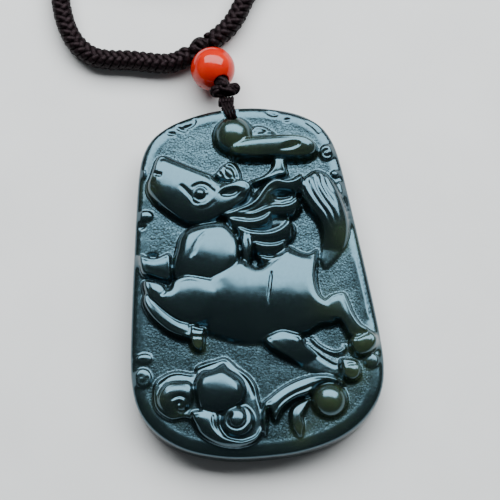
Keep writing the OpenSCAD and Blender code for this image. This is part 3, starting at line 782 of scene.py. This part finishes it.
# Outer edge of the plaque, from the face round to the back: how far in, and the height where
# it isn't the border's own
EDGE_PROFILE = [
    (0.7, None), (0.45, None), (0.25, None), (0.1, None), (0, SIDE - 0.1), (0, 3.2), (0, 1.7),
    (0.03, 1.15), (0.12, 0.72), (0.3, 0.36), (0.55, 0.13), (0.8, 0.02), (1.0, 0), (1.3, 0)]
HOLE_AT = (-0.4, 27.0)
HOLE_R = 1.0
NOTCH_DEPTH, FRONT_NOTCH = 1.2, 0.5
# Spots with a painted glow, lighter and greener, for light that comes through thin or proud jade:
# place, radius and strength
PAINTED_GLOWS = [
    (-0.3, 22.6, 3, 0.8), (10.9, -22.2, 2.8, 1), (10, 20, 3, 0.6), (4, 20.6, 3, 0.35),
    (17.2, -12.9, 2.6, 1), (15.2, -17.6, 2.2, 0.9), (-9.2, -10.8, 1.4, 0.9),
    (-14.8, 16, 2, 0.55), (15.8, 5, 2.6, 0.6), (12.6, -5.6, 3.2, 0.45), (5.9, -25.8, 1.8, 0.7),
    (-16.2, -19, 1.6, 0.4), (-13, -21.4, 1.6, 0.35), (4.6, 12.5, 1.5, 0.3)]


def cut_by_edge(edge):
    """Grid cells inside the edge, clipped where it crosses them, and the ring around them."""
    level = edge - INSET
    gy, gx = np.gradient(edge, GRID)
    close = np.abs(level) < 0.25 * GRID
    x = np.where(close, GRID_X - level * gx, GRID_X)
    y = np.where(close, GRID_Y - level * gy, GRID_Y)
    level = np.where(close, 0, level)
    points, index = [], {}

    def point(a, b, t=0.0):
        """The point a part t of the way from one corner to another."""
        key = (a, b) if t else a
        if key not in index:
            index[key] = len(points)
            points.append(tuple(field[a] + (field[b] - field[a]) * t for field in (x, y, HEIGHT)))
        return index[key]

    faces = []
    for i, j in np.argwhere(np.maximum.reduce([level[:-1, :-1], level[1:, :-1], level[:-1, 1:],
                                               level[1:, 1:]]) > 0):
        ring = [(i, j), (i, j + 1), (i + 1, j + 1), (i + 1, j)]
        face = []
        for a, b in zip(ring, ring[1:] + ring[:1]):
            if level[a] >= 0:
                face.append(point(a, a))
            if level[a] * level[b] < 0:
                low, high = sorted((a, b))
                face.append(point(low, high, level[low] / (level[low] - level[high])))
        if len(face) > 2:
            faces.append(face)
    following = dict.fromkeys(
        side for face in faces for side in zip(face, face[1:] + face[:1]))
    outside = {a: b for a, b in following if (b, a) not in following}
    ring = [next(iter(outside))]
    while outside[ring[-1]] != ring[0]:
        ring.append(outside[ring[-1]])
    return np.array(points), faces, ring


def plaque_blank(edge):
    """The closed plaque without its hole: the carved face, the rounded edge and the flat back."""
    points, faces, ring = cut_by_edge(edge)
    outline = points[ring]
    # The ring runs anticlockwise, so its outward side is on the right
    heading = unit(np.roll(outline[:, :2], -3, axis=0) - np.roll(outline[:, :2], 3, axis=0))
    outward = np.stack([heading[:, 1], -heading[:, 0]], 1)
    outward = unit(outward + np.roll(outward, 2, axis=0) + np.roll(outward, -2, axis=0))
    count, total, last = len(ring), len(points), list(ring)
    everything = [points]
    above = outline[:, 2] - border_height(np.full(count, INSET))
    for inset, z in EDGE_PROFILE:
        level = np.empty((count, 3))
        level[:, :2] = outline[:, :2] + outward * (INSET - inset)
        level[:, 2] = border_height(inset) + above * (inset / INSET) ** 2 if z is None else z
        now = list(range(total, total + count))
        faces += [(last[k], now[k], now[(k + 1) % count], last[(k + 1) % count])
                  for k in range(count)]
        everything.append(level)
        total, last = total + count, now
    faces.append(last[::-1])
    return np.vstack(everything), faces


def solid(name, points, faces):
    mesh = new_mesh(name, points, faces)
    mesh.validate()
    mesh.update()
    return linked(name, mesh)


def notch_cutters():
    """The hole, with the notch above it on each face."""
    x0, y0 = HOLE_AT
    circle = [(x0 + HOLE_R * cos(a), y0 + HOLE_R * sin(a)) for a in np.arange(40) * tau / 40]
    notch = [(x0 + 1.05 * cos(a), y0 + 1.05 * sin(a)) for a in np.linspace(pi, tau, 17)]
    notch += [(x0 + 1.3, y0 + 3), (x0 - 2.3, y0 + 3)]
    for outline, low, high in ((circle, -1, 12), (notch, -1, NOTCH_DEPTH),
                               (notch, GROUND - FRONT_NOTCH, 12)):
        n = len(outline)
        points = [(x, y, z) for z in (low, high) for x, y in outline]
        faces = [list(range(n))[::-1], list(range(n, 2 * n))]
        faces += [(k, (k + 1) % n, n + (k + 1) % n, n + k) for k in range(n)]
        yield solid("cutter", points, faces)


def jade_carving():
    edge, ground = carve()
    blank = solid("blank", *plaque_blank(edge))
    cutters = list(notch_cutters())
    for cutter in cutters:
        modifier = blank.modifiers.new("cut", "BOOLEAN")
        modifier.object = cutter
        modifier.operation = "DIFFERENCE"
        modifier.solver = "EXACT"
    bpy.context.view_layer.update()
    graph = bpy.context.evaluated_depsgraph_get()
    mesh = bpy.data.meshes.new_from_object(blank.evaluated_get(graph))
    for thing in (blank, *cutters):
        bpy.data.objects.remove(thing, do_unlink=True)
    mesh.name = "jade_carving"
    mesh.materials.clear()
    mesh.polygons.foreach_set("material_index", [0] * len(mesh.polygons))
    carving = piece("jade_carving", mesh, jade_material(), "plaque", "jade", "jade_plaque")
    sharpen_notch(mesh)
    mark(mesh, ground)
    return carving


def sharpen_notch(mesh):
    """Keeps the notches' and the hole's edges crisp."""
    work = bmesh.new()
    work.from_mesh(mesh)
    for e in work.edges:
        x, y = e.verts[0].co.x / MM - HOLE_AT[0], e.verts[0].co.y / MM - HOLE_AT[1]
        close = abs(x) < 2.4 and -1.5 < y < 3
        e.smooth = not (close and len(e.link_faces) == 2 and e.calc_face_angle(0) > 0.7)
    work.to_mesh(mesh)
    work.free()


def mark(mesh, ground):
    """Stores on each point how far it is pecked ground and how strong its painted glow is, for
    light that shines through it.
    """
    co = np.empty(len(mesh.vertices) * 3)
    mesh.vertices.foreach_get("co", co)
    x, y, z = co.reshape(-1, 3).T / MM
    i = np.clip(np.round((y + REACH_Y) / GRID).astype(int), 0, len(YS) - 1)
    j = np.clip(np.round((x + REACH_X) / GRID).astype(int), 0, len(XS) - 1)
    glow = sum(strength * np.exp(-((x - x0) ** 2 + (y - y0) ** 2) / r ** 2)
               for x0, y0, r, strength in PAINTED_GLOWS)
    store(mesh, "ground", np.where(z > GROUND - 0.3, ground[i, j], 0))
    store(mesh, "glow", np.where(z > 5, np.clip(glow, 0, 1), 0))


def jade_material():
    """Dark green nephrite: polished forms on pecked ground, with a painted glow, lighter and
    greener, where light comes through thin parts.
    """
    jade = Finish("jade")
    ground = jade.attribute("ground")
    cloud, grain = jade.noise(110.0, 4.0, 0.55, 0.6), jade.noise(1500.0, 3.0, 0.6)
    pits = jade.node("TexVoronoi", {"Vector": jade.where, "Scale": 2900.0}, "Distance")
    body = jade.ramp(cloud, (0.3, (0.0035, 0.0056, 0.005)), (0.52, (0.005, 0.0082, 0.0072)),
                     (0.75, (0.0072, 0.012, 0.010)))
    # Lighter, greener colour for the painted glow, mixed in where light comes through the jade
    painted_glow = jade.ramp(cloud, (0.3, (0.018, 0.028, 0.010)), (0.75, (0.028, 0.040, 0.017)))
    # Pecked spots scatter the light, so they reflect less of it
    dull = jade.maths("MULTIPLY", jade.mapped(jade.noise(3800.0), 0.44, 0.6), ground)
    rough = jade.maths("MULTIPLY", pits, ground)
    height = jade.maths("ADD", rough, jade.mapped(grain, 0.0, 1.0, 0.0, 0.12))
    return jade.surface(
        Base_Color=jade.node("Mix", {"Factor": jade.attribute("glow"), 6: body, 7: painted_glow}, 2,
                             data_type="RGBA"),
        Roughness=jade.maths("ADD", jade.mapped(ground, 0.0, 1.0, 0.2, 0.24),
                             jade.mapped(grain, 0.35, 0.65, -0.03, 0.03)),
        IOR=1.62, Specular_IOR_Level=jade.mapped(dull, 0.0, 1.0, 0.85, 0.35),
        Specular_Tint=(0.42, 0.79, 1, 1),
        Subsurface_Weight=0.3, Subsurface_Radius=(0.5, 1.0, 0.55), Subsurface_Scale=0.0012,
        Normal=jade.bump(height, 0.5, 0.000032))


jade_carving()


# ---- bead, knots and strands

BEAD_AT = np.array((-2.8, 36.5, 3.7))
BEAD_R, BORE_R = 3.7, 1.25
# The bead's axis, which points towards the plaque, and two directions across it
BEAD_AXIS = np.array((cos(radians(27.7)) * sin(radians(21.8)),
                      -cos(radians(27.7)) * cos(radians(21.8)), sin(radians(27.7))))
BEAD_SIDE = unit(np.cross(BEAD_AXIS, (0, 0, 1)))
BEAD_UP = np.cross(BEAD_SIDE, BEAD_AXIS)
COLLAR_AT = np.array((-1.15, 31.7, 5.3))
BEND_AT = np.array((-1.1, 30.3, 4.7))
# One strand's way through the hole: how far it is spread, then Y and Z
STRAND_ROUTE = [
    (0.8, 30.3, 4.9), (0.85, 29.6, 5.55), (0.85, 28.9, 5.9), (0.8, 27.9, 5.9), (0.6, 27.25, 5.5),
    (0.6, 27, 4.4), (0.6, 27, 2.2), (0.6, 27.2, 1.2), (0.8, 27.9, 0.72), (0.85, 28.9, 0.65),
    (0.85, 29.45, 1.25), (0.85, 29.95, 2.6), (0.8, 30.25, 4.3)]
CLOSURE_AT = np.array((-5.0, 71.6, 1.9))
TAIL_ROUTE = [(12.4, 0, 0), (11.4, -0.1, 0), (10.3, -0.55, 0)] + [
    (x, -0.75, 0) for x in (9.4, 6.4, 3.2, 0, -3.2, -6.4)] + [
    (-7.3, -0.95, -0.1), (-8.1, -1.45, -0.3), (-8.6, -2.2, -0.6), (-8.8, -3.15, -0.85),
    (-8.6, -4.1, -1.05), (-8.1, -4.85, -1.2), (-7.3, -5.4, -1.25), (-6.3, -5.6, -1.25),
    (-5, -5.6, -1.2), (-3.7, -5.7, -1.2)]
STOPPER_AT = (-2.6, -5.7, -0.6)
# An upward direction for rings that stand across X
ACROSS = (1, 0.02, 0.03)


def on_bead_axis(h, r=0.0, angle=0.0):
    """A point h along the bead's axis from its centre, and r away from the axis."""
    return BEAD_AT + BEAD_AXIS * h + (BEAD_SIDE * cos(angle) + BEAD_UP * sin(angle)) * r


def agate_bead():
    """A ball drilled through, with a slightly broken edge where the bore comes out."""
    start = np.arcsin((BORE_R + 0.16) / BEAD_R)
    outside = [(BEAD_R * sin(a), BEAD_R * cos(a)) for a in np.linspace(start, pi - start, 49)]
    mouth = outside[0][1]
    lip = [(BORE_R + 0.07, mouth - 0.03), (BORE_R + 0.01, mouth - 0.12), (BORE_R, mouth - 0.3)]
    inside = [(BORE_R, mouth * k / 6) for k in range(-5, 6)]
    profile = outside + [(r, -h) for r, h in lip] + inside + lip[::-1]
    around, count = 72, len(profile)
    points = [on_bead_axis(h, r, tau * i / around) for i in range(around) for r, h in profile]
    faces = [(here + k, here + (k + 1) % count, after + (k + 1) % count, after + k)
             for here, after in ((i * count, (i + 1) % around * count) for i in range(around))
             for k in range(count)]
    shape = Shape()
    shape.add(points, faces)
    shape.finish("agate_bead_polished", AGATE, "bead", "agate", "agate_bead")


def bundle(shape, start, end, radius, turns=0.35):
    """Four twisted strands along the bead's axis, between two distances from its centre."""
    for k in range(4):
        shape.tube([on_bead_axis(start + (end - start) * v, 0.62, tau * (k / 4 + turns * v))
                    for v in np.linspace(0, 1, 24)], radius, up=(1, 0.1, 0.3))


def wound_ball(shape, centre, radius, thread, winds, seed):
    """A knot that looks like a small ball of cord: great turns about a slowly changing axis."""
    rng = np.random.default_rng(seed)
    start = unit(rng.normal(size=3))
    across = unit(np.cross(start, rng.normal(size=3)))
    third = np.cross(start, across)
    t = np.linspace(0, winds * tau, winds * 26)
    tilt = 1.9 * t / (winds * tau) * pi
    out = (start * np.cos(t)[:, None]
           + (across * np.cos(tilt)[:, None] + third * np.sin(tilt)[:, None]) * np.sin(t)[:, None])
    shape.tube(np.array(centre) + unit(out) * (radius - thread), thread, up=(0.3, 0.2, 1))


def collar_knot():
    """Two crossed loops of doubled cord round the neck, where the strands leave the bead."""
    shape = Shape()
    bundle(shape, 3.1, 5.2, 0.5)
    left = [
        (-1.75, 0.1, 0.15), (-1.6, 0.55, 0.45), (-0.9, 0.6, 0.72), (0, 0.25, 0.95),
        (0.8, -0.05, 0.85), (1.15, -0.3, 0.3), (0.6, -0.2, -0.35), (-0.5, -0.1, -0.6),
        (-1.4, -0.2, -0.35)]
    right = [
        (1.75, 0.35, 0.3), (1.4, 0.75, 0.5), (0.6, 0.75, 0.45), (-0.4, 0.4, 0.55),
        (-1.2, 0.05, 0.75), (-1.4, -0.3, 0.3), (-0.5, -0.35, -0.3), (0.7, -0.1, -0.6),
        (1.5, 0, -0.25)]
    for route, shift in ((left, (0, 0, 0)), (left, (0.1, 0.32, -0.3)), (right, (0, 0, 0)),
                         (right, (0.1, 0.3, -0.32))):
        shape.loop([COLLAR_AT + np.array(p) * (1.22, 1.05, 1) + shift for p in route], 0.39)
    # The right lobe stands up, and a band slants over the front
    shape.loop([COLLAR_AT + p for p in ((1.3, 0.3, 0.6), (1.6, 0.95, 0.72), (2.1, 0.9, 0.4),
                                        (2.05, 0.2, 0.2))], 0.36)
    shape.finish("collar_knot_loops", KNOT, "neck_cord", "knot_cord", "collar_knot")


def crown_knot():
    """The knot behind the bead, where the strands end in the two braids."""
    shape = Shape()
    bundle(shape, -5.3, -3.1, 0.5)
    wound_ball(shape, (-4.55, 41.3, 1.7), 1.68, 0.42, 7, 3)
    wound_ball(shape, (-5.6, 40.9, 1.85), 1.18, 0.36, 5, 4)
    wound_ball(shape, (-3.4, 41.7, 1.85), 1.18, 0.36, 5, 5)
    shape.finish("crown_knot_loops", KNOT, "neck_cord", "knot_cord", "crown_knot")


def bead_core():
    shape = Shape()
    bundle(shape, -3.5, 3.5, 0.54, turns=0.5)
    shape.finish("bead_core_strands", STRAND, "neck_cord", "strand_cord", "bead_core")


def bail_strands():
    """Four loops that share the hole, and the turns round the bend that they hang from."""
    step, pitch = 0.14, 1.7
    shape = Shape()
    for i in range(4):
        side = i - 1.5
        aside = 0.2 if i % 2 == 0 else -0.2
        route = []
        for spread, y, z in STRAND_ROUTE:
            in_hole = abs(y - HOLE_AT[1]) < 0.3
            lean = 1 if in_hole else (BEND_AT[1] - y) / (BEND_AT[1] - HOLE_AT[1])
            x = BEND_AT[0] + (HOLE_AT[0] - BEND_AT[0]) * lean
            route.append((x + side * 0.6 * spread, y + (aside if in_hole else 0), z))
        top = BEND_AT[0] + side * 0.48
        route += [(top, 30.8, 4.4), (top, 30.85, 4.75)]
        line = even(np.vstack([spline(route, 0.15, closed=True), route[:1]]), step)
        s = np.arange(len(line)) * step
        # Each loop is two thin twisted threads
        for k in (0, 1):
            turn = tau * s / pitch + k * pi + i
            shape.tube(line + 0.11 * turned_out(line, turn, ACROSS), 0.14, sides=6, up=ACROSS)
    for k in range(5):
        x = BEND_AT[0] + (k - 2) * 0.5
        shape.loop([(x + 0.08 * cos(a), BEND_AT[1] + 0.58 * cos(a), BEND_AT[2] + 0.58 * sin(a))
                    for a in np.arange(12) * tau / 12], 0.28, up=ACROSS)
    shape.finish("bail_strand_loops", STRAND, "bail", "strand_cord", "bail_strands")


for make in (agate_bead, bead_core, collar_knot, crown_knot, bail_strands):
    make()


# ---- closure

def at_closure(points, side):
    """Points drawn for the left end, turned half round for the right one."""
    return CLOSURE_AT + np.asarray(points, float) * ((1, 1, 1) if side < 0 else (-1, -1, 1))


def whipping(side, which):
    """Thread wound tightly round the end of a braid, closing down onto the tail."""
    start, turns, pitch, thread = 12.9, 8.5, 0.44, 0.28
    t = np.linspace(0, turns, int(turns * 28))
    r = 1.68 - 1.0 * eased(t, turns - 1.6, turns) ** 1.2
    line = np.stack([start - pitch * t, r * np.cos(tau * t), 0.1 + r * np.sin(tau * t)], 1)
    shape = Shape()
    shape.tube(at_closure(line, side), thread, up=ACROSS)
    return shape.finish("whipping_" + which, KNOT, "neck_cord", "knot_cord", "wrap_" + which)


def stopper(side, which):
    shape = Shape()
    wound_ball(shape, at_closure(STOPPER_AT, side), 1.28, 0.34, 7, 11 if side < 0 else 12)
    return shape.finish("end_knot_" + which, KNOT, "neck_cord", "knot_cord", "stopper_" + which)


def tail(side, which):
    """A thin cord of three twisted strands."""
    step, pitch, middle, strand, strands = 0.16, 2.6, 0.29, 0.3, 3
    line = even(spline(at_closure(TAIL_ROUTE, side), 0.15), step)
    s = np.arange(len(line)) * step
    shape = Shape()
    for k in range(strands):
        shape.tube(line + middle * turned_out(line, tau * (s / pitch + k / strands)), strand)
    return shape.finish("tail_cord_" + which, STRAND, "neck_cord", "strand_cord",
                        "tail_" + which), line


def slider_knot():
    """Square-knotted sleeve: bars that lie across in turn, with a column of loops each side."""
    shape = Shape()
    bars = 8
    for k in range(bars):
        x = -2.62 + 5.24 * k / (bars - 1)
        lean = 0.16 if k % 2 else -0.16
        shape.loop([CLOSURE_AT + (x + lean * cos(a), 1.6 * cos(a), 1.52 * sin(a))
                    for a in np.arange(20) * tau / 20], 0.34, up=ACROSS)
        for side in (-1, 1):
            shape.loop([CLOSURE_AT + (x + 0.3 * cos(a), side * (1.56 + 0.02 * sin(a)),
                                      0.55 * sin(a)) for a in np.arange(10) * tau / 10],
                       0.2, sides=6, up=(0.02, 1, 0.03))
    return shape.finish("slider_square_knot", KNOT, "slider", "knot_cord", "slider_knot")


sliding = slider_knot()
for end, which, braided, braid_line, route in (
        (-1, "left", braid_left, left_line, LEFT_ROUTE),
        (1, "right", braid_right, right_line, RIGHT_ROUTE)):
    whipped, knot = whipping(end, which), stopper(end, which)
    thin, tail_line = tail(end, which)
    tuple(np.array(route[0]) * MM)


# ---- stage and light

def add_floor():
    bpy.ops.mesh.primitive_plane_add(size=4)
    floor = bpy.context.object
    floor.name = "floor"
    floor.data.materials.append(floor_material())


def add_lights():
    """One wide soft box, above and behind the plaque's top, and a faint sky."""
    data = bpy.data.lights.new("window", "AREA")
    data.shape = "RECTANGLE"
    data.size, data.size_y = 1.26, 0.56
    data.energy = 21
    data.color = (0.94, 0.985, 1)
    light = linked("window", data)
    light.location = Vector((0.14, 0.61, 0.79)).normalized() * 0.7
    light.rotation_euler = (-light.location).to_track_quat("-Z", "Y").to_euler()
    world = bpy.context.scene.world or bpy.data.worlds.new("world")
    bpy.context.scene.world = world
    world.use_nodes = True
    background = world.node_tree.nodes["Background"]
    background.inputs["Color"].default_value = (0.9, 0.95, 1, 1)
    background.inputs["Strength"].default_value = 0.1


add_floor()
add_lights()
